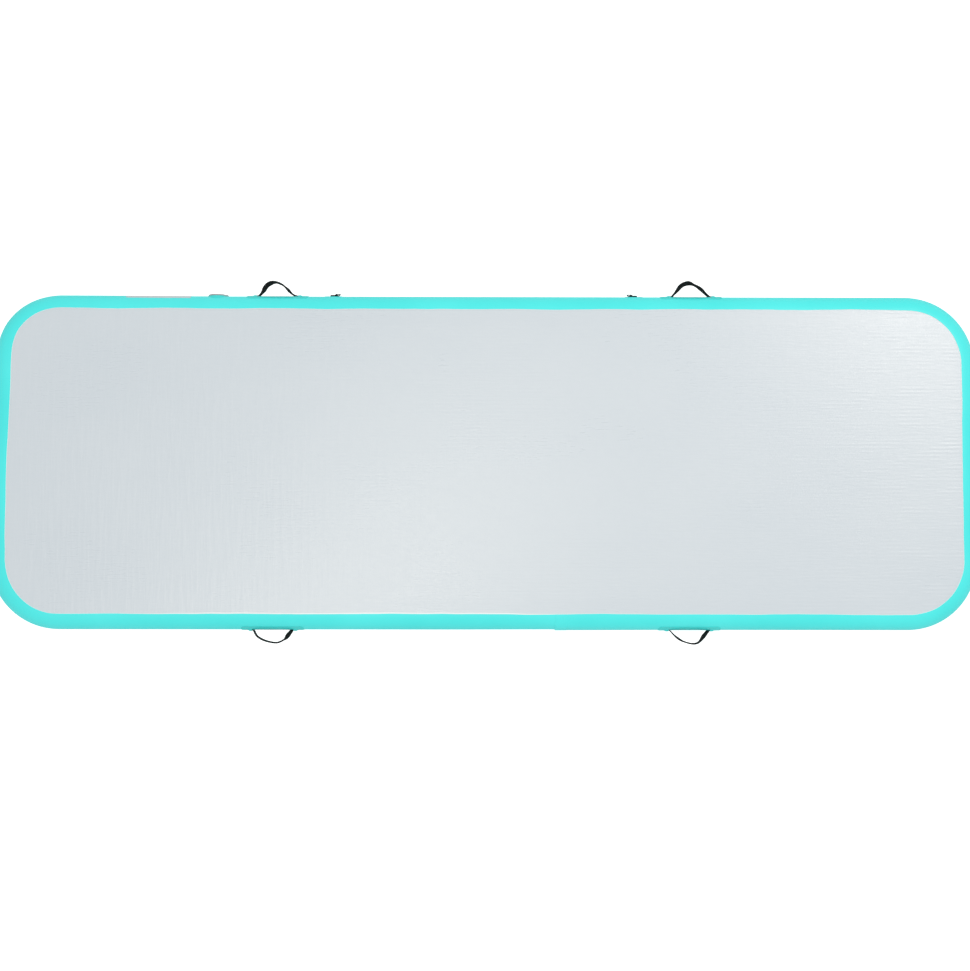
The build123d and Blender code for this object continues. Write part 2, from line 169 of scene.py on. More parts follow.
def piece(name, bm, material, body="mat", replaces=(), smooth=40):
    """Turn a finished bmesh into a named piece that rides on a body."""
    mesh = bpy.data.meshes.new(name)
    bm.normal_update()  # the vertices were moved, and the next line reads the faces' old normals
    bmesh.ops.recalc_face_normals(bm, faces=bm.faces)
    bm.to_mesh(mesh)
    bm.free()
    for one in material if isinstance(material, tuple) else (material,):
        mesh.materials.append(one)
    thing = bpy.data.objects.new(name, mesh)
    bpy.context.scene.collection.objects.link(thing)
    mesh.shade_smooth()
    mesh.set_sharp_from_angle(angle=math.radians(smooth))
    if body:
        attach(thing, body)
    if replaces:
        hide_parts(*replaces)
    return thing


def everything(bm):
    return bm.verts[:] + bm.edges[:] + bm.faces[:]


def slice_up(bm, axis, low, high, cell):
    """Cut a shape across an axis into cells about so long."""
    count = max(1, round((high - low) / cell))
    for number in range(1, count):
        place = axis * (low + (high - low) * number / count)
        bmesh.ops.bisect_plane(bm, geom=everything(bm), dist=1e-7, plane_co=place, plane_no=axis)


def rounded_plate(length, height, corner, thickness, cell):
    """Flat plate with rounded corners and a softened upper edge, its underside at nought."""
    bm = bmesh.new()
    bmesh.ops.create_grid(bm, x_segments=1, y_segments=1, size=0.5)
    bmesh.ops.scale(bm, vec=(length, height, 1), verts=bm.verts)
    bmesh.ops.bevel(
        bm,
        geom=bm.verts[:],
        affect="VERTICES",
        offset=corner,
        segments=7,
        profile=0.5,
        material=-1,
    )
    raised = bmesh.ops.extrude_face_region(bm, geom=bm.faces[:])["geom"]
    upper = [one for one in raised if isinstance(one, bmesh.types.BMVert)]
    bmesh.ops.translate(bm, vec=(0, 0, thickness), verts=upper)
    rim = [e for e in bm.edges if all(v.co.z > thickness / 2 for v in e.verts)]
    bmesh.ops.bevel(
        bm,
        geom=rim,
        affect="EDGES",
        offset=0.7 * thickness,
        segments=2,
        profile=0.5,
        material=-1,
    )
    slice_up(bm, Vector((1, 0, 0)), -length / 2, length / 2, 2 * cell)
    slice_up(bm, Vector((0, 1, 0)), -height / 2, height / 2, cell)
    return bm


def chain(bm, points, closed):
    """Vertices joined by edges through points, as the start of a sweep."""
    verts = [bm.verts.new(point) for point in points]
    pairs = list(zip(verts, verts[1:])) + ([(verts[-1], verts[0])] if closed else [])
    return [bm.edges.new(pair) for pair in pairs]


def sweep_round(points):
    """Carry a closed section, drawn at the right-hand end, round the whole outline."""
    bm = bmesh.new()
    last = chain(bm, points, closed=True)
    last += bm.verts[:]
    long_steps, short_steps, corner_steps = 120, 26, 34
    runs = (
        (Vector((0, 1, 0)), 2 * CORE_Y, short_steps, (CORE_X, CORE_Y)),
        (Vector((-1, 0, 0)), 2 * CORE_X, long_steps, (-CORE_X, CORE_Y)),
        (Vector((0, -1, 0)), 2 * CORE_Y, short_steps, (-CORE_X, -CORE_Y)),
        (Vector((1, 0, 0)), 2 * CORE_X, long_steps, (CORE_X, -CORE_Y)),
    )
    for way, length, steps, centre in runs:
        last = bmesh.ops.spin(
            bm, geom=last, cent=(0, 0, 0), axis=(0, 0, 1), dvec=way * length / steps,
            angle=0, steps=steps, use_merge=False, use_duplicate=False,
        )["geom_last"]
        last = bmesh.ops.spin(
            bm, geom=last, cent=(*centre, 0), axis=(0, 0, 1), dvec=(0, 0, 0),
            angle=math.pi / 2, steps=corner_steps, use_merge=False, use_duplicate=False,
        )["geom_last"]
    bmesh.ops.remove_doubles(bm, verts=bm.verts, dist=1e-5)
    return bm


FAR = 300 * MM  # added to lengths up the wall, to keep a flat section clear of the corners' centres


def band_section(reach, outer, inner, fine, coarse):
    """Flat closed section of a wall band that reaches so far up and down the wall."""
    rounding = 0.25 * (outer - inner)
    outside = [reach * (1 - 2 * number / fine) for number in range(fine + 1)]
    inside = [reach * (2 * number / coarse - 1) for number in range(coarse + 1)]
    points = [(reach - rounding if n == 0 else -reach + rounding if n == fine else up, outer)
              for n, up in enumerate(outside)]
    points += [(-reach, outer - rounding)]
    points += [(up, inner) for up in inside]
    points += [(reach, outer - rounding)]
    return [Vector((CORE_X + FLAT_CORNER + FAR + up, -CORE_Y, off)) for up, off in points]


def corner_share(x, y):
    """From 0 on the straight runs to 1 at the middle of a corner."""
    core, way = core_of(x, y)
    return ease(2.4 * min(abs(way.x), abs(way.y)))


def lap_at(way):
    """How far the bands' edges lie past the flat's edge, on each side of the mat."""
    at_end = 7.0 * MM if way.x < 0 else 0.5 * MM
    at_side = -2.4 * MM if way.y > 0 else -0.2 * MM
    return way.x**2 * at_end + way.y**2 * at_side


def wall_band(points, lap, seed, pucker, reveal=0.0):
    """Sweep a flat band section round the mat and fold it over the wall.

    lap is added to how far its edges lie past the flat's edge, and reveal is how much further
    they show along the left half of the front.
    """
    bm = sweep_round(points)
    for vert in bm.verts:
        core, way = core_of(vert.co.x, vert.co.y)
        flat = Vector((vert.co.x, vert.co.y, 0)) - core
        up = flat.length - FLAT_CORNER - FAR
        off = vert.co.z
        place = core + way * FLAT_CORNER
        edge = ease((abs(up) - 0.6 * QUARTER) / (0.4 * QUARTER))
        face = seed + (10 if up < 0 else 0)
        drift = 2.7 * wobble(place.x, place.y, 0.17, face)
        drift += 0.9 * wobble(place.x, place.y, 0.05, face + 3)
        if place.y < 0:
            drift += reveal * ease((place.x + 1.1) / 0.3) * ease((0.3 - place.x) / 0.3)
        corner = corner_share(place.x, place.y)
        up = math.copysign(abs(up) + edge * (lap_at(way) + lap + drift * MM), up)
        crease = abs(wobble(place.x, place.y, 0.021, face + 5))
        off += pucker * corner * edge * (crease - 0.25)
        vert.co = wall_point(vert.co.x, vert.co.y, up, off)
    return bm


def smooth_line(points, steps):
    """Points close together on a smooth line through the given ones."""
    ends = [2 * points[0] - points[1], *points, 2 * points[-1] - points[-2]]
    line = []
    for before, start, end, after in zip(ends, ends[1:], ends[2:], ends[3:]):
        for number in range(steps):
            t = number / steps
            line.append(
                0.5 * (2 * start + (end - before) * t
                       + (2 * before - 5 * start + 4 * end - after) * t**2
                       + (3 * start - before - 3 * end + after) * t**3)
            )
    return line + [points[-1]]


def lengths_along(line):
    total = [0.0]
    for start, end in zip(line, line[1:]):
        total.append(total[-1] + (end - start).length)
    return total


def straight_strap(length, width, thickness, steps):
    """Straight webbing along X from nought, with rolled edges and a UV map in metres."""
    bm = bmesh.new()
    bmesh.ops.create_grid(bm, x_segments=1, y_segments=1, size=0.5)
    bmesh.ops.scale(bm, vec=(width, thickness, 1), verts=bm.verts)
    bmesh.ops.bevel(
        bm,
        geom=bm.verts[:],
        affect="VERTICES",
        offset=0.42 * thickness,
        segments=3,
        profile=0.5,
        material=-1,
    )
    slice_up(bm, Vector((1, 0, 0)), -width / 2, width / 2, 2.6 * MM)
    inner = [edge for edge in bm.edges if not edge.is_boundary]
    bmesh.ops.delete(bm, geom=inner, context="EDGES_FACES")
    turn = Matrix(((0, 0, 1), (1, 0, 0), (0, 1, 0)))
    bmesh.ops.transform(bm, matrix=turn.to_4x4(), verts=bm.verts)
    bmesh.ops.spin(
        bm, geom=everything(bm), cent=(0, 0, 0), axis=(1, 0, 0), dvec=(length / steps, 0, 0),
        angle=0, steps=steps, use_merge=False, use_duplicate=False,
    )
    bmesh.ops.holes_fill(bm, edges=[e for e in bm.edges if e.is_boundary], sides=0)
    weave = bm.loops.layers.uv.new("weave")
    for face in bm.faces:
        for loop in face.loops:
            loop[weave].uv = (loop.vert.co.x, loop.vert.co.y)
    return bm


def bend_strap(bm, line, place, tilts):
    """Bend straight webbing along a line of (along, out) points and put it in place.

    tilts holds the webbing's tilt as keys of (share of its length, degrees), and place makes a
    point of the row frame from lengths along the wall, up from its middle and out from it.
    """
    total = lengths_along(line)
    for vert in bm.verts:
        along, across, thick = vert.co
        along = max(0.0, min(total[-1], along))
        number = 0
        while number < len(line) - 2 and total[number + 1] < along:
            number += 1
        part = (along - total[number]) / max(1e-9, total[number + 1] - total[number])
        point = line[number].lerp(line[number + 1], part)
        tangent = (line[min(number + 2, len(line) - 1)] - line[max(number - 1, 0)]).normalized()
        normal = Vector((-tangent.y, tangent.x))
        tilt = math.radians(keyed(tilts, along / total[-1]))
        out_of = across * math.sin(tilt) + thick * math.cos(tilt)
        up = across * math.cos(tilt) - thick * math.sin(tilt)
        flat = point + normal * out_of
        vert.co = place(flat.x, up, flat.y)
    return bm


def stitches(bm, rows, pitch, length, radius, up_off):
    """Short thread stitches along rows, each from one (along, up) point to another."""
    for start, end in rows:
        run = end - start
        count = max(1, round(run.length / pitch))
        heading = math.atan2(run.y, run.x)
        for number in range(count):
            middle = start + run * (number + 0.5) / count
            made = bmesh.ops.create_uvsphere(bm, u_segments=6, v_segments=4, radius=1.0)["verts"]
            bmesh.ops.rotate(bm, cent=(0, 0, 0), matrix=Matrix.Rotation(math.pi / 2, 3, "Y"),
                             verts=made)
            bmesh.ops.scale(bm, vec=(length / 2, radius, radius), verts=made)
            bmesh.ops.rotate(bm, cent=(0, 0, 0), matrix=Matrix.Rotation(heading, 3, "Z"),
                             verts=made)
            bmesh.ops.translate(bm, vec=(middle.x, middle.y, up_off), verts=made)


def box_stitch(low, high, half):
    """Rows of a boxed cross between two places along the webbing."""
    corners = [Vector(p) for p in ((low, -half), (high, -half), (high, half), (low, half))]
    rows = list(zip(corners, corners[1:] + corners[:1]))
    return rows + [(corners[0], corners[2]), (corners[1], corners[3])]


# ---------------------------------------------------------------- materials


def paint(name, colour, **finish):
    """A new material and its shader, with the finish set on the shader's own inputs."""
    material = bpy.data.materials.new(name)
    material.use_nodes = True
    shader = material.node_tree.nodes["Principled BSDF"]
    shader.inputs["Base Color"].default_value = (*colour, 1)
    for socket, value in finish.items():
        shader.inputs[socket.replace("_", " ")].default_value = value
    return material


def add(material, kind, inputs=None, **settings):
    """A node with its inputs set to numbers or linked to other nodes' outputs."""
    node = material.node_tree.nodes.new(kind)
    for setting, value in settings.items():
        setattr(node, setting, value)
    for socket, value in (inputs or {}).items():
        if isinstance(value, bpy.types.NodeSocket):
            material.node_tree.links.new(value, node.inputs[socket])
        else:
            node.inputs[socket].default_value = value
    return node


def shader_of(material):
    return material.node_tree.nodes["Principled BSDF"]


def link(material, output, socket):
    material.node_tree.links.new(output, shader_of(material).inputs[socket])


def places(material, scale=(1, 1, 1), output="Object", turn=(0, 0, 0)):
    """Coordinates on the piece, stretched and turned."""
    coordinates = add(material, "ShaderNodeTexCoord").outputs[output]
    mapping = add(material, "ShaderNodeMapping",
                  {"Vector": coordinates, "Scale": scale, "Rotation": turn})
    return mapping.outputs["Vector"]


def grain(material, scale, detail=3.0, output="Object", roughness=0.5):
    """Noise with that many grains to a metre along each axis."""
    where = places(material, scale, output)
    node = add(material, "ShaderNodeTexNoise",
               {"Vector": where, "Scale": 1.0, "Detail": detail, "Roughness": roughness})
    return node.outputs["Fac"]


def ribs(material, pitch, way, output="Object", distortion=0.0):
    """Even waves with that pitch along X or Y."""
    scale = [0, 0, 0]
    scale["XYZ".index(way)] = 2 * math.pi / 20 / pitch
    where = places(material, scale, output)
    node = add(material, "ShaderNodeTexWave",
               {"Vector": where, "Scale": 1.0, "Distortion": distortion},
               bands_direction=way)
    return node.outputs["Fac"]


def maths(material, operation, first, second=0.5, third=0.0):
    node = add(material, "ShaderNodeMath", {0: first, 1: second, 2: third}, operation=operation)
    return node.outputs[0]


def spread(material, value, low, high, to_low=0.0, to_high=1.0):
    """A value's range stretched to another one."""
    node = add(material, "ShaderNodeMapRange",
               {"Value": value, "From Min": low, "From Max": high,
                "To Min": to_low, "To Max": to_high})
    return node.outputs["Result"]


def blend_colours(material, share, first, second):
    node = add(material, "ShaderNodeMix", {0: share}, data_type="RGBA")
    for socket, value in ((6, first), (7, second)):
        if isinstance(value, bpy.types.NodeSocket):
            material.node_tree.links.new(value, node.inputs[socket])
        else:
            node.inputs[socket].default_value = (*value, 1)
    return node.outputs[2]


def raise_by(material, height, distance, strength=1.0, below=None):
    inputs = {"Height": height, "Distance": distance, "Strength": strength}
    if below:
        inputs["Normal"] = below
    return add(material, "ShaderNodeBump", inputs).outputs["Normal"]


def make_panel_skin():
    """Silver-grey coated skin: rows of the drop stitch, fine weave, faint mottling and scuffs, and
    painted highlights where the rows glint towards the right end and the columns towards the left.
    """
    material = paint("panel_grey_pvc", (0.63, 0.69, 0.74), Roughness=0.29, Specular_IOR_Level=0.8)
    length = add(material, "ShaderNodeSeparateXYZ", {"Vector": places(material)}).outputs["X"]
    # Painted highlight masks: the rows glint towards the right end and the columns towards the left,
    # in colour as well as in relief.
    right_glint_mask = spread(material, length, 0.6, 1.45, 0.25, 1.0)
    left_glint_mask = spread(material, length, 0.2, -1.2, 0.15, 1.0)
    rows = ribs(material, RIB_PITCH, "Y")
    broken = spread(material, grain(material, (9, 30, 1), 3), 0.4, 0.65)
    rows_relief_and_glint = maths(material, "MULTIPLY", maths(material, "MULTIPLY", rows, broken), right_glint_mask)
    columns = spread(material, grain(material, (70, 8, 1), 2), 0.4, 0.7)
    columns_relief_and_glint = maths(material, "MULTIPLY", columns, left_glint_mask)
    patches = grain(material, (2.2, 3.5, 1), 3)
    dashes = spread(material, grain(material, (28, 190, 1), 3), 0.35, 0.7)
    tone = blend_colours(material, spread(material, patches, 0.3, 0.7),
                         (0.616, 0.684, 0.737), (0.632, 0.697, 0.747))
    tone = blend_colours(material, maths(material, "MULTIPLY", dashes, 0.08), tone,
                         (0.71, 0.765, 0.805))
    # Painted highlight: the stitch rows are lightened where they glint, towards the right end.
    tone = blend_colours(material, maths(material, "MULTIPLY", rows_relief_and_glint, 0.08), tone,
                         (0.76, 0.80, 0.84))
    # Painted highlight: the stitch columns are lightened where they glint, towards the left.
    tone = blend_colours(material, maths(material, "MULTIPLY", columns_relief_and_glint, 0.056), tone,
                         (0.75, 0.80, 0.84))
    link(material, tone, "Base Color")
    gloss = spread(material, patches, 0.3, 0.7, 0.26, 0.30)
    gloss = maths(material, "ADD", gloss, maths(material, "MULTIPLY", dashes, 0.05))
    link(material, gloss, "Roughness")
    weave = maths(material, "ADD", ribs(material, 1.5 * MM, "X"), ribs(material, 1.5 * MM, "Y"))
    normal = raise_by(material, rows_relief_and_glint, 0.45 * MM, 0.56)
    normal = raise_by(material, columns_relief_and_glint, 0.5 * MM, 0.48, normal)
    normal = raise_by(material, dashes, 0.3 * MM, 0.3, normal)
    normal = raise_by(material, weave, 0.05 * MM, 0.4, normal)
    link(material, normal, "Normal")
    return material


def make_band_pvc(name, colour, deep, gloss):
    """Coated wall fabric: fine leather grain, slow drift of its colour, polished high spots."""
    material = paint(name, colour, Roughness=gloss, Specular_IOR_Level=0.5)
    drift = grain(material, (4, 4, 9), 3)
    pores = grain(material, (900, 900, 900), 4)
    link(material, blend_colours(material, spread(material, drift, 0.3, 0.7), deep, colour),
         "Base Color")
    rough = spread(material, pores, 0.3, 0.7, gloss - 0.05, gloss + 0.07)
    link(material, rough, "Roughness")
    normal = raise_by(material, drift, 1.2 * MM, 0.25)
    link(material, raise_by(material, pores, 0.12 * MM, 0.5, normal), "Normal")
    return material


def make_webbing(name, colour, light):
    """Woven strap: ribs across it, paired cords along it and a little fuzz."""
    material = paint(name, colour, Roughness=0.78, Specular_IOR_Level=0.2)
    picks = ribs(material, 1.6 * MM, "X", "UV")
    cords = ribs(material, 2.3 * MM, "Y", "UV")
    woven = maths(material, "MULTIPLY", picks, cords)
    fuzz = grain(material, (2500, 2500, 2500), 3)
    share = maths(material, "MULTIPLY", maths(material, "ADD", woven, fuzz), 0.45)
    link(material, blend_colours(material, share, colour, light), "Base Color")
    link(material, spread(material, fuzz, 0.3, 0.7, 0.68, 0.88), "Roughness")
    normal = raise_by(material, woven, 0.4 * MM, 0.9)
    link(material, raise_by(material, fuzz, 0.1 * MM, 0.4, normal), "Normal")
    return material


def make_moulded(name, colour, light, gloss, size=500):
    """Moulded or ground surface: fine spark texture and a slight change of tone."""
    material = paint(name, colour, Roughness=gloss, Specular_IOR_Level=0.5)
    fine = grain(material, (size, size, size), 4)
    slow = grain(material, (40, 40, 40), 2)
    link(material, blend_colours(material, spread(material, slow, 0.3, 0.7), colour, light),
         "Base Color")
    link(material, spread(material, fine, 0.3, 0.7, gloss - 0.06, gloss + 0.08), "Roughness")
    link(material, raise_by(material, fine, 0.06 * MM, 0.5), "Normal")
    return material


def make_yarn():
    material = paint("polyester_yarn", (0.82, 0.82, 0.80), Roughness=0.85)
    strands = grain(material, (1200, 1200, 25), 3)
    link(material, blend_colours(material, strands, (0.66, 0.66, 0.64), (0.9, 0.9, 0.88)),
         "Base Color")
    link(material, raise_by(material, strands, 0.4 * MM, 0.7), "Normal")
    return material


def make_spring_steel():
    material = paint("spring_steel", (0.62, 0.63, 0.65), Roughness=0.28, Metallic=1.0)
    drawn = grain(material, (900, 900, 900), 3)
    link(material, spread(material, drawn, 0.3, 0.7, 0.2, 0.38), "Roughness")
    link(material, raise_by(material, drawn, 0.03 * MM, 0.4), "Normal")
    return material


panel_skin = make_panel_skin()
turquoise = make_band_pvc("turquoise_pvc", (0.080, 0.89, 0.875), (0.060, 0.84, 0.825), 0.42)
patch_pvc = make_band_pvc("patch_pvc", (0.050, 0.74, 0.72), (0.038, 0.68, 0.66), 0.44)
seam_pvc = make_band_pvc("inner_wall_pvc", (0.93, 0.95, 0.95), (0.86, 0.89, 0.90), 0.46)
# Painted shade: the white label's vinyl is given a darker grey, for the shade on the back wall where
# the label is seen nearly edge-on.
label_painted_shade_vinyl = make_band_pvc("label_painted_shade_vinyl", (0.60, 0.66, 0.70), (0.56, 0.62, 0.66), 0.42)
black_webbing = make_webbing("black_webbing", (0.004, 0.004, 0.0045), (0.022, 0.022, 0.024))
black_thread = make_webbing("black_thread", (0.010, 0.010, 0.011), (0.05, 0.05, 0.055))
ring_plastic = make_moulded("ring_plastic", (0.012, 0.012, 0.013), (0.024, 0.024, 0.026), 0.42)
valve_grey = make_moulded("valve_plastic", (0.42, 0.44, 0.46), (0.48, 0.50, 0.52), 0.40)
seal_rubber = make_moulded("seal_rubber", (0.03, 0.03, 0.032), (0.05, 0.05, 0.052), 0.6, 800)
leash_rubber = make_moulded("leash_plastic", (0.36, 0.38, 0.40), (0.42, 0.44, 0.46), 0.5, 700)
yarn = make_yarn()
spring_steel = make_spring_steel()


# ---------------------------------------------------------------- skins and wall bands


def round_corners(bm, segments):
    """Trim a rectangle's corners to the flat's corner radius with tangent cuts."""
    for side_x in (1, -1):
        for side_y in (1, -1):
            for number in range(segments):
                angle = math.pi / 2 * (number + 0.5) / segments
                way = Vector((side_x * math.cos(angle), side_y * math.sin(angle), 0))
                centre = Vector((side_x * CORE_X, side_y * CORE_Y, 0))
                reach = FLAT_CORNER * math.cos(math.pi / 4 / segments)
                bmesh.ops.bisect_plane(
                    bm, geom=everything(bm), dist=1e-7, plane_co=centre + way * reach,
                    plane_no=way, clear_outer=True,
                )


def skin_height(x, y, seed):
    """How far the skin stands above its edge: a slight crown, slow waves and the stitch rows."""
    inset = min(FLAT_X - abs(x), FLAT_Y - abs(y))
    inner = ease((inset - 6 * MM) / (45 * MM))
    height = 0.55 * MM * inner
    height += 0.55 * MM * inner * wobble(x, y * 1.4, 0.33, seed)
    patchy = 0.55 + 0.45 * wobble(x, y, 0.4, seed + 2)
    height += 0.10 * MM * inner * patchy * math.cos(2 * math.pi * y / RIB_PITCH)
    return height


def make_skin(name, node, top):
    """A skin with its edge turned down the wall, under both bands."""
    bm = bmesh.new()
    bmesh.ops.create_grid(bm, x_segments=90, y_segments=304, size=0.5)
    bmesh.ops.scale(bm, vec=(2 * FLAT_X, 2 * FLAT_Y, 1), verts=bm.verts)
    round_corners(bm, 14)
    edge_up = section(QUARTER, -BANDS)[1]
    for vert in bm.verts:
        core, way = core_of(vert.co.x, vert.co.y)
        inset = FLAT_CORNER - (vert.co - core).length
        height = skin_height(vert.co.x, vert.co.y, 1.0 if top else 21.0)
        vert.co += way * corner_push(core, way) * (1 - ease(inset / (90 * MM)))
        vert.co.z = edge_up + height
    turned = 5
    lowest = math.asin((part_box("top_panel")[0].z - MID - WALL_FLAT / 2) / WALL_RADIUS)
    for number in range(1, turned + 1):
        before = set(bm.verts)
        rim = [edge for edge in bm.edges if edge.is_boundary]
        bmesh.ops.extrude_edge_only(bm, edges=rim)
        turn = math.pi / 2 + (lowest - math.pi / 2) * number / turned
        up = WALL_FLAT / 2 + WALL_RADIUS * turn
        for vert in bm.verts:
            if vert not in before:
                vert.co = wall_point(vert.co.x, vert.co.y, up, -BANDS)
    if not top:
        bmesh.ops.scale(bm, vec=(1, 1, -1), verts=bm.verts)
        bmesh.ops.translate(bm, vec=(0, 0, THICKNESS), verts=bm.verts)
    bmesh.ops.recalc_face_normals(bm, faces=bm.faces)
    middle = min(bm.faces, key=lambda face: face.calc_center_median().xy.length)
    if (middle.normal.z > 0) != top:
        bmesh.ops.reverse_faces(bm, faces=bm.faces)
    mesh = bpy.data.meshes.new(name)
    bm.to_mesh(mesh)
    bm.free()
    mesh.materials.append(panel_skin)
    mesh.shade_smooth()
    skin = bpy.data.objects.new(name, mesh)
    bpy.context.scene.collection.objects.link(skin)
    wall = skin.modifiers.new("thickness", "SOLIDIFY")
    wall.thickness = 0.9 * MM
    wall.offset = -1
    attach(skin, "mat")
    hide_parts(node)


HOLE_RADIUS = 19.6 * MM  # round the valve's barrel
HOLE_SIDES = 32


def cut_valve_hole(bm):
    """Open a band round the valve's barrel and close the hole's rim between its two faces."""
    centre = Vector((VALVE_X, HALF_WIDTH, MID))

    def middles(reach_x, reach_z):
        """Faces of the back wall whose middles lie so near the valve's axis, along X and Z."""
        for face in bm.faces:
            away = face.calc_center_median() - centre
            if away.y > -WALL_RADIUS and abs(away.x) < reach_x and abs(away.z) < reach_z:
                yield face, away

    for number in range(HOLE_SIDES):
        turn = 2 * math.pi * number / HOLE_SIDES
        way = Vector((math.cos(turn), 0, math.sin(turn)))
        # Wide enough for the longest faces that reach into the hole.
        near = [face for face, away in middles(HOLE_RADIUS + 12 * MM, HOLE_RADIUS + 6 * MM)]
        edges = list(dict.fromkeys(edge for face in near for edge in face.edges))
        verts = list(dict.fromkeys(vert for face in near for vert in face.verts))
        bmesh.ops.bisect_plane(bm, geom=verts + edges + near, dist=1e-7,
                               plane_co=centre + way * HOLE_RADIUS, plane_no=way)
    inside = [face for face, away in middles(HOLE_RADIUS, HOLE_RADIUS)
              if math.hypot(away.x, away.z) < HOLE_RADIUS]
    bmesh.ops.delete(bm, geom=inside, context="FACES")
    bmesh.ops.bridge_loops(bm, edges=[edge for edge in bm.edges if edge.is_boundary])


def make_walls():
    outer = wall_band(band_section(QUARTER, 0, -BAND, 30, 16), 0.0, 3.0, 0.7 * MM)
    cut_valve_hole(outer)
    band = piece("wall_band", outer, turquoise, replaces=("outer_wall_band",))
    flat = band_section(QUARTER, -BAND, -BANDS, 20, 12)
    inner = wall_band(flat, 1.1 * MM, 3.0, 0.0, reveal=3.0)
    cut_valve_hole(inner)
    lining = piece("inner_band", inner, seam_pvc, replaces=("inner_wall_band",))


def make_band_joint():
    """Overlap where the two ends of the wall fabric meet."""
    length = 34 * MM
    bm = rounded_plate(length, 2 * (QUARTER - 0.5 * MM), 1.5 * MM, 0.6 * MM, 4 * MM)
    lay_on_long_wall(bm, JOINT_X + length / 2, -1)
    piece("band_joint", bm, turquoise)


# ---------------------------------------------------------------- handles

HALF_CHORD = 57.5
SEWN = 15.0
FOOT = 2.0  # of the webbing's middle where it is sewn down
COVER = 0.8 * MM  # of the patches over the webbing's sewn ends
COVER_START = 62.5 * MM
COVER_LENGTH = 30 * MM
COVER_HEIGHT = 46 * MM
# Each loop's bow between its feet, as millimetres along the wall and out from it, and its tilts,
# as (share of its length, degrees).
HANDLES = {
    "back_left": (
        [(-47, 15), (-33, 36), (-11, 45), (12, 38), (29, 23), (45, 8)],
        [(0.0, 0), (0.12, 4), (0.24, 26), (0.36, 24), (0.50, 6), (0.64, 4), (0.74, 15), (0.86, 2),
         (1, 0)],
    ),
    "back_right": (
        [(-46, 16), (-28, 37), (-6, 44.5), (17, 36), (33, 25), (46, 12)],
        [(0.0, 0), (0.12, 8), (0.30, 26), (0.46, 24), (0.58, 5), (0.72, 14), (0.86, 5), (1, 0)],
    ),
    "front_left": (
        [(-47, 21), (-23, 34), (6, 40), (22, 37), (37, 28), (46, 17)],
        [(0.0, 0), (0.13, 7), (0.3, 9), (0.5, 8), (0.68, 10), (0.80, 34), (0.88, 26), (1, 0)],
    ),
    "front_right": (
        [(-44, 17), (-29, 28.5), (-13, 36.5), (12, 42), (30, 37), (46, 17)],
        [(0.0, 0), (0.15, 8), (0.28, 15), (0.42, 8), (0.66, 9), (0.80, 23), (0.88, 18), (1, 0)],
    ),
}


def out_place(centre, side):
    """Place for bent webbing: its sewn ends follow the round wall and its bow hangs free."""

    def place(along, up, out):
        reach = section(up, 0)[0] - WALL_RADIUS
        near = 1 - ease((out - FOOT * MM - 1.5 * MM) / (9 * MM))
        y = side * (HALF_WIDTH + out + reach * near)
        return Vector((centre + along, y, MID + up))

    return place


def make_handle(name, bow, tilts):
    side = 1 if name.startswith("back") else -1
    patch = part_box("handle_patch_" + name)
    centre = (patch[0].x + patch[1].x) / 2
    end = HALF_CHORD + SEWN
    points = [(-end, FOOT), (-end + 6, FOOT), (-HALF_CHORD - 1.5, FOOT + 0.1), *bow]
    points += [(HALF_CHORD + 1.5, FOOT + 0.1), (end - 6, FOOT), (end, FOOT)]
    line = smooth_line([Vector(point) * MM for point in points], 8)
    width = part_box("handle_strap_" + name)[1].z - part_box("handle_strap_" + name)[0].z
    thickness = 2.2 * MM if side > 0 else 2.5 * MM
    bm = straight_strap(lengths_along(line)[-1], width, thickness, 96)
    bend_strap(bm, line, out_place(centre, side), tilts)
    strap = piece(
        "handle_" + name, bm, black_webbing, body=None,
        replaces=(f"handle_strap_{name}", f"handle_end_{name}_left", f"handle_end_{name}_right"),
    )
    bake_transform(strap)

    high = 2 * (QUARTER - 42 * MM)
    plate = rounded_plate(patch[1].x - patch[0].x, high, 12 * MM, 0.9 * MM, 4 * MM)
    lay_on_long_wall(plate, centre, side)
    piece("patch_" + name, plate, patch_pvc, replaces=("handle_patch_" + name,))

    thread = bmesh.new()
    for way in (-1, 1):
        cover = rounded_plate(COVER_LENGTH, COVER_HEIGHT, 6 * MM, COVER, 1.5 * MM)
        for vert in cover.verts:
            vert.co.x += way * (COVER_START + COVER_LENGTH / 2)
            over = ease((end * MM + 3 * MM - abs(vert.co.x)) / (3 * MM))
            over *= ease((width / 2 + 3 * MM - abs(vert.co.y)) / (3 * MM))
            vert.co.z += 0.9 * MM + over * thickness
        lay_on_long_wall(cover, centre, side)
        side_name = "left" if way < 0 else "right"
        piece(f"end_cover_{name}_{side_name}", cover, patch_pvc)
        rows = box_stitch(way * (COVER_START + 2 * MM), way * (end - 1.6) * MM, 10.3 * MM)
        stitches(thread, rows, 3.1 * MM, 2.5 * MM, 0.33 * MM, 0.9 * MM + thickness + COVER)
    for vert in thread.verts:
        along, up, off = vert.co
        vert.co = wall_point(centre + along, side * HALF_WIDTH, up, off)
    piece("stitching_" + name, thread, black_thread)


# ---------------------------------------------------------------- D-rings


RING_WIRE = 3.0 * MM


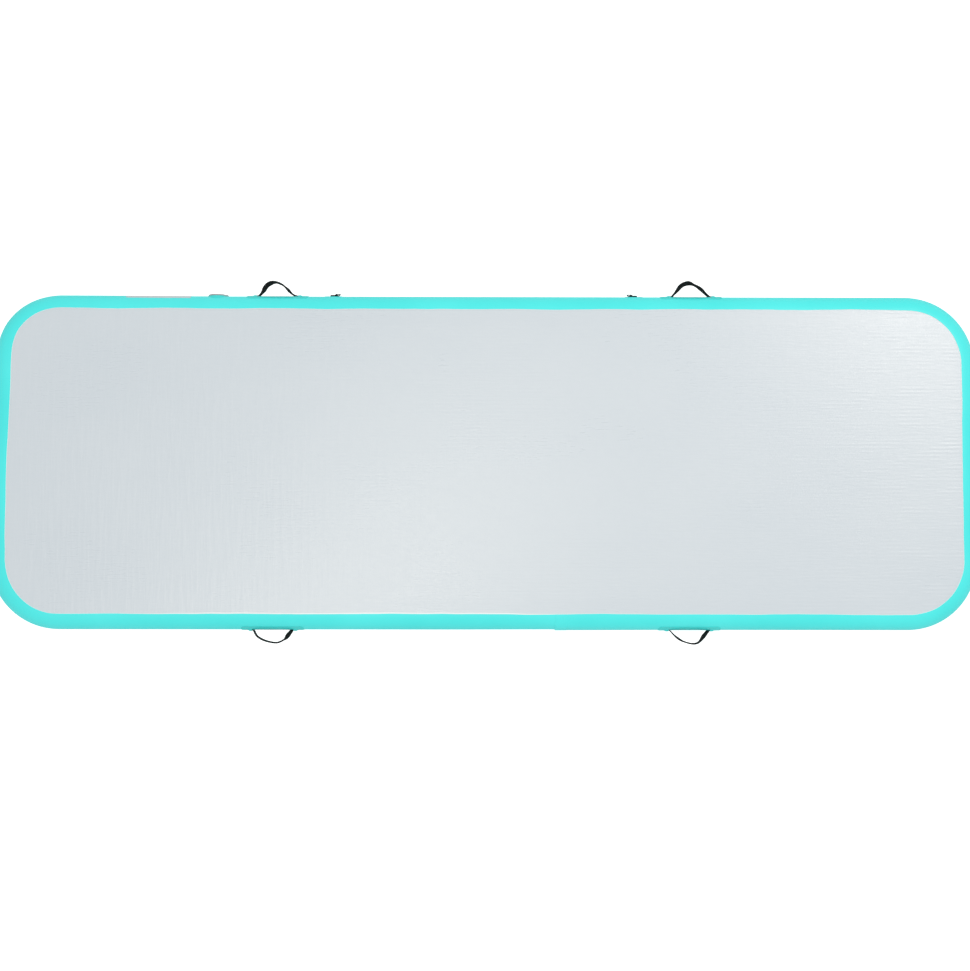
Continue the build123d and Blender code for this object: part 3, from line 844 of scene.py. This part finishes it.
def make_d_ring_fitting(name, outboard):
    """Sewn webbing tab, its patch and its stitching; outboard is the way from the ring to its tab."""
    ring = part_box("d_ring_" + name)
    # The ring lies over, away from its tab, so its bar is at the end nearer the tab.
    bar = ring[0 if outboard < 0 else 1].x - outboard * RING_WIRE / 2
    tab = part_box("d_ring_tab_" + name)
    end = max(abs(tab[0].x - bar), abs(tab[1].x - bar)) / MM
    points = [(end, 1.85), (end - 7, 1.85), (4, 1.88), (0.2, 2.0), (-2.1, 3.1), (-2.65, 4.8)]
    points += [(-1.7, 6.6), (0.4, 7.25), (2.4, 6.3), (3.7, 4.95), (5.4, 4.05), (8, 3.85)]
    points += [(end - 3, 3.85), (end, 3.9)]
    line = smooth_line([Vector(point) * MM for point in points], 6)
    bm = straight_strap(lengths_along(line)[-1], tab[1].z - tab[0].z, 1.8 * MM, 80)

    def place(along, up, out):
        drop = (section(up, 0)[0] - WALL_RADIUS) * ease(along / (12 * MM))
        return Vector((bar + outboard * along, HALF_WIDTH + out + drop, MID + up))

    bend_strap(bm, line, place, [(0.0, 0), (1.0, 0)])
    piece("ring_tab_" + name, bm, black_webbing, replaces=("d_ring_tab_" + name,))

    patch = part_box("d_ring_patch_" + name)
    plate = rounded_plate(patch[1].x - patch[0].x, 40.8 * MM, 7 * MM, 0.9 * MM, 4 * MM)
    lay_on_long_wall(plate, (patch[0].x + patch[1].x) / 2, 1)
    piece("ring_patch_" + name, plate, patch_pvc, replaces=("d_ring_patch_" + name,))

    thread = bmesh.new()
    rows = box_stitch(bar + outboard * 9 * MM, bar + outboard * (end - 1.6) * MM, 8.8 * MM)
    stitches(thread, rows, 3.0 * MM, 2.4 * MM, 0.32 * MM, 4.8 * MM)
    lay_on_long_wall(thread, 0, 1)
    piece("ring_stitching_" + name, thread, black_thread)


# ---------------------------------------------------------------- label and valve


def make_label():
    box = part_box("label_patch")
    plate = rounded_plate(box[1].x - box[0].x, 67.5 * MM, 5 * MM, 0.55 * MM, 4 * MM)
    lay_on_long_wall(plate, (box[0].x + box[1].x) / 2, 1)
    piece("blank_label", plate, label_painted_shade_vinyl, replaces=("label_patch",))


cap_low, cap_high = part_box("valve_cap")
VALVE_X = (cap_low.x + cap_high.x) / 2


def lathe(profile, steps):
    """Turn a profile of (radius, height) round the valve's axis, heights outwards from the wall."""
    bm = bmesh.new()
    edges = chain(bm, [Vector((radius, 0, height)) * MM for radius, height in profile], False)
    bmesh.ops.spin(
        bm, geom=edges + bm.verts[:], cent=(0, 0, 0), axis=(0, 0, 1), dvec=(0, 0, 0),
        angle=2 * math.pi, steps=steps, use_merge=True, use_duplicate=False,
    )
    bmesh.ops.remove_doubles(bm, verts=bm.verts, dist=1e-6)
    return bm


def seat_in_valve(bm):
    """From the valve's own axes to the row frame."""
    turn = Matrix(((1, 0, 0), (0, 0, 1), (0, -1, 0))).to_4x4()
    bmesh.ops.transform(bm, matrix=Matrix.Translation((VALVE_X, HALF_WIDTH, MID)) @ turn,
                        verts=bm.verts)


def make_cap():
    """Domed cap with a knurled lip, a raised grip and its hollow plug."""
    bm = lathe(
        [(0, 7.1), (6, 7.0), (12, 6.75), (17, 6.35), (20.2, 5.95), (20.9, 6.1), (22.6, 6.05),
         (23.9, 5.85), (24.4, 5.55), (24.4, 5.2), (24.0, 4.95), (22.4, 4.9), (22.3, 3.7),
         (19.5, 3.7), (19.4, 4.4), (16.2, 4.4), (16.1, 3.7), (14.7, 3.6), (14.7, -0.2),
         (14.3, -0.5), (13.5, -0.5), (13.3, -0.2), (13.3, 4.9), (8, 5.2), (0, 5.3)],
        120,
    )
    for vert in bm.verts:
        radius = math.hypot(vert.co.x, vert.co.y)
        if radius > 23 * MM and vert.co.z > 4.9 * MM:
            turn = math.atan2(vert.co.y, vert.co.x)
            trim = 1 + 0.012 * math.cos(30 * turn)
            vert.co.x *= trim
            vert.co.y *= trim
    seat_in_valve(bm)
    piece("cap_dome", bm, valve_grey, "cap", ("valve_cap",))

    grip = bmesh.new()
    bmesh.ops.create_cube(grip, size=1.0)
    bmesh.ops.scale(grip, vec=(25 * MM, 5.2 * MM, 2.0 * MM), verts=grip.verts)
    bmesh.ops.bevel(grip, geom=grip.edges[:], affect="EDGES", offset=0.9 * MM, segments=3,
                    profile=0.5, material=-1)
    bmesh.ops.translate(grip, vec=(0, 0, 6.7 * MM), verts=grip.verts)
    seat_in_valve(grip)
    piece("cap_grip", grip, valve_grey, "cap")


def make_saddle():
    """Welded saddle between the round wall and the valve's flat flange."""
    bm = lathe([(19.3, 0.6), (24, 0.6), (28.4, 0.6), (29.2, 0.35), (29.6, 0.0), (31.5, -0.2),
                (31.6, -0.6), (29, -0.9), (19.3, -0.9), (19.3, 0.6)], 96)
    for vert in bm.verts:
        radius = math.hypot(vert.co.x, vert.co.y)
        # Outside the flange the saddle comes down onto the wall.
        share = ease((radius - 28.6 * MM) / (2.2 * MM))
        if vert.co.z < -0.5 * MM:
            share = 1.0
        drop = math.sqrt(max(0.0, WALL_RADIUS**2 - max(0.0, abs(vert.co.y) - WALL_FLAT / 2) ** 2))
        drop -= WALL_RADIUS
        height = vert.co.z
        if share > 0:
            onto = drop + max(0.35 * MM + height, -0.2 * MM)
            height = height * (1 - share) + min(onto, 0.6 * MM) * share
        vert.co.z = height
    seat_in_valve(bm)
    piece("saddle", bm, patch_pvc, replaces=("valve_saddle",))


make_skin("top_skin", "top_panel", True)
make_skin("bottom_skin", "bottom_panel", False)
make_walls()
make_band_joint()
for handle, (bow, tilts) in HANDLES.items():
    make_handle(handle, bow, tilts)
make_d_ring_fitting("left", -1)
make_d_ring_fitting("right", 1)
make_label()
make_cap()
make_saddle()

# ---------------------------------------------------------------- finish of the kept CAD nodes
FINISHES = {
    "drop_threads": yarn,
    "d_ring_left": ring_plastic,
    "d_ring_right": ring_plastic,
    "valve_backing": seam_pvc,
    "valve_gasket": seal_rubber,
    "valve_nut": valve_grey,
    "valve_body": valve_grey,
    "valve_plunger": valve_grey,
    "plunger_seal": seal_rubber,
    "valve_spring": spring_steel,
    "cap_seal": seal_rubber,
    "cap_tether": leash_rubber,
    "tether_base": leash_rubber,
}
for node_name, finish in FINISHES.items():
    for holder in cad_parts[node_name].material_slots:
        holder.material = finish

# ---------------------------------------------------------------- studio


def make_floor():
    """Plain pale floor that lights the object's sides a little, as a white sweep does."""
    material = paint("studio_floor", (0.78, 0.78, 0.78), Roughness=0.9)
    shader = shader_of(material)
    shader.inputs["Emission Color"].default_value = (1, 1, 1, 1)
    # The camera sees a paper-white floor, and the object is lit by its plain reflection.
    seen = add(material, "ShaderNodeLightPath").outputs["Is Camera Ray"]
    link(material, maths(material, "MULTIPLY", seen, 0.85), "Emission Strength")
    grid = bmesh.new()
    bmesh.ops.create_grid(grid, x_segments=4, y_segments=4, size=40)
    bmesh.ops.translate(grid, vec=(0, 0, -0.3 * MM), verts=grid.verts)
    mesh = bpy.data.meshes.new("studio_floor")
    grid.to_mesh(mesh)
    grid.free()
    mesh.materials.append(material)
    floor = bpy.data.objects.new("studio_floor", mesh)
    bpy.context.scene.collection.objects.link(floor)


def softbox(name, place, target, width, height, colour, power):
    lamp = bpy.data.lights.new(name, "AREA")
    lamp.shape = "RECTANGLE"
    lamp.size = width
    lamp.size_y = height
    lamp.energy = power
    lamp.color = colour
    box = bpy.data.objects.new(name, lamp)
    box.location = place
    box.rotation_mode = "QUATERNION"
    box.rotation_quaternion = (Vector(target) - Vector(place)).to_track_quat("-Z", "Y")
    box.visible_camera = False
    bpy.context.scene.collection.objects.link(box)


def make_lights():
    world = bpy.data.worlds.new("studio")
    world.use_nodes = True
    world.node_tree.nodes["Background"].inputs["Color"].default_value = (1, 1, 1, 1)
    world.node_tree.nodes["Background"].inputs["Strength"].default_value = 0.79
    bpy.context.scene.world = world
    softbox("key", (2.25, 1.3, 4.2), (1.45, 0.45, 0), 1.2, 1.0, (1.0, 0.93, 0.86), 34)
    softbox("fill", (-0.5, -0.3, 4.2), (-0.4, -0.4, 0), 2.1, 0.5, (1.0, 0.92, 0.80), 21)


CAMERA_AIM = Vector((0.0029, -0.0699, 0.05))
CAMERA_DISTANCE = 7.5
CAMERA_TILT = math.radians(4.23)
CAMERA_SWING = math.radians(-0.40)  # to the left of the mat's middle
CAMERA_ROLL = 0.00104
LENS = 91.26


def make_camera():
    data = bpy.data.cameras.new("camera")
    data.sensor_fit = "HORIZONTAL"
    data.sensor_width = 36
    data.lens = LENS
    camera = bpy.data.objects.new("camera", data)
    back = Vector((math.sin(CAMERA_SWING), -math.sin(CAMERA_TILT), math.cos(CAMERA_TILT)))
    back.normalize()
    camera.location = CAMERA_AIM + back * CAMERA_DISTANCE
    camera.rotation_mode = "QUATERNION"
    roll = Matrix.Rotation(CAMERA_ROLL, 3, "Z").to_quaternion()
    right = Vector((0, 1, 0)).cross(back).normalized()
    level = Matrix((right, back.cross(right), back)).transposed().to_quaternion()
    camera.rotation_quaternion = level @ roll
    bpy.context.scene.collection.objects.link(camera)
    bpy.context.scene.camera = camera


make_floor()
make_lights()
make_camera()
bpy.context.scene.view_settings.view_transform = "Standard"
bpy.context.scene.view_settings.look = "None"
